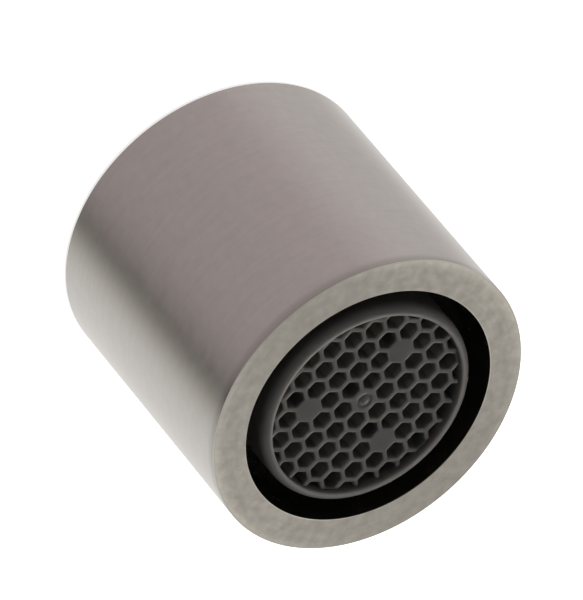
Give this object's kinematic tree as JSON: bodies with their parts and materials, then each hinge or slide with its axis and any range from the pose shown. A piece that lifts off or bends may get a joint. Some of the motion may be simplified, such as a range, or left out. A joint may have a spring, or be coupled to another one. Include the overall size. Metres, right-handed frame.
{
  "type": "tap aerator",
  "caption": "Cylindrical tap aerator: a plain brushed steel sleeve that screws onto a spout and holds a dark plastic cartridge, which mixes air into the water at a honeycomb outlet.",
  "frame": {"origin": "centre of the inlet rim, on the axis; the part stands on this rim", "axes": "+Z along the axis, the way the water leaves; +X along a row of honeycomb cells"},
  "size_m": [0.024, 0.024, 0.0225],
  "materials": {
    "brushed_steel": "brushed around its axis, satin",
    "dark_plastic": "moulded, satin dark grey",
    "pale_plastic": "moulded, natural off-white",
    "rubber": "moulded, matte black"
  },
  "bodies": {
    "root": {"sleeve": "brushed_steel", "sealing_washer": "rubber", "inlet_sieve": "pale_plastic", "jet_splitter": "pale_plastic", "upper_grid": "pale_plastic", "lower_grid": "pale_plastic", "nozzle": "dark_plastic"}
  },
  "joints": []
}
